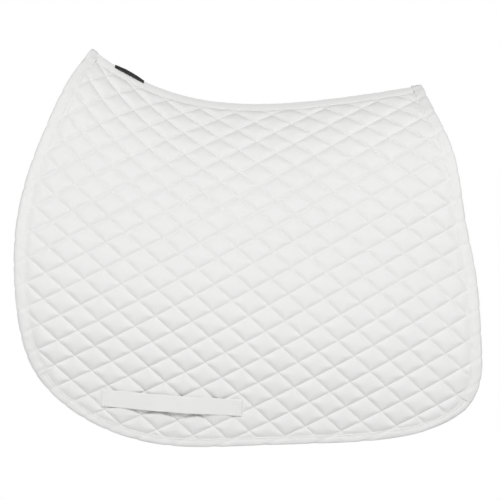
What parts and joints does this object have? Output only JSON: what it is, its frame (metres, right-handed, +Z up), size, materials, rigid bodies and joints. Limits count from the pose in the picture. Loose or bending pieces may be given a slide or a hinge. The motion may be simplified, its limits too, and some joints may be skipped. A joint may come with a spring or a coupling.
{
  "type": "saddle pad",
  "caption": "Quilted dressage saddle pad in two draped half panels, with bound edges, a taped contoured spine, hanging flaps and webbing loops that keep the girth straps.",
  "frame": {"origin": "on the crest line of the spine seam, midway along it, on top of the pad where the middle of the saddle's gullet sits", "axes": "+Z up, +X along the horse towards the rear (the withers end is at -X), +Y towards the horse's right side (the left side of the pad is at -Y)"},
  "size_m": [0.7234, 0.4772, 0.5696],
  "materials": {
    "cover_cotton": "bleached cotton twill, matte, quilted",
    "lining_cotton": "bleached cotton twill, matte, quilted",
    "batting": "soft fibre wadding",
    "binding_tape": "folded cotton bias tape, matte",
    "spine_tape": "flat cotton tape, matte",
    "webbing": "plain woven webbing, slight sheen",
    "thread": "polyester sewing thread",
    "label_black": "plain woven satin label, no text"
  },
  "bodies": {
    "crown": {"left_crown_lining": "lining_cotton", "left_crown_batting": "batting", "left_crown_cover": "cover_cotton", "right_crown_lining": "lining_cotton", "right_crown_batting": "batting", "right_crown_cover": "cover_cotton", "crown_front_binding": "binding_tape", "crown_rear_binding": "binding_tape", "spine_tape_top": "spine_tape", "spine_tape_under": "spine_tape", "woven_label": "label_black"},
    "left_flap": {"left_flap_lining": "lining_cotton", "left_flap_batting": "batting", "left_flap_cover": "cover_cotton", "left_flap_front_binding": "binding_tape", "left_flap_rear_binding": "binding_tape", "left_flap_bottom_binding": "binding_tape", "left_girth_loop": "webbing", "left_loop_stitching": "thread"},
    "right_flap": {"right_flap_lining": "lining_cotton", "right_flap_batting": "batting", "right_flap_cover": "cover_cotton", "right_flap_front_binding": "binding_tape", "right_flap_rear_binding": "binding_tape", "right_flap_bottom_binding": "binding_tape", "right_girth_loop": "webbing", "right_loop_stitching": "thread"}
  },
  "joints": [
    {"name": "left_flap_swing", "type": "hinge", "parent": "crown", "child": "left_flap", "pos_m": [0, -0.19067, -0.217], "axis": [-1, 0, 0], "range_deg": [-25, 60], "stiffness_Nm_per_rad": 0.8},
    {"name": "right_flap_swing", "type": "hinge", "parent": "crown", "child": "right_flap", "pos_m": [0, 0.19067, -0.217], "axis": [1, 0, 0], "range_deg": [-25, 60], "stiffness_Nm_per_rad": 0.8}
  ]
}
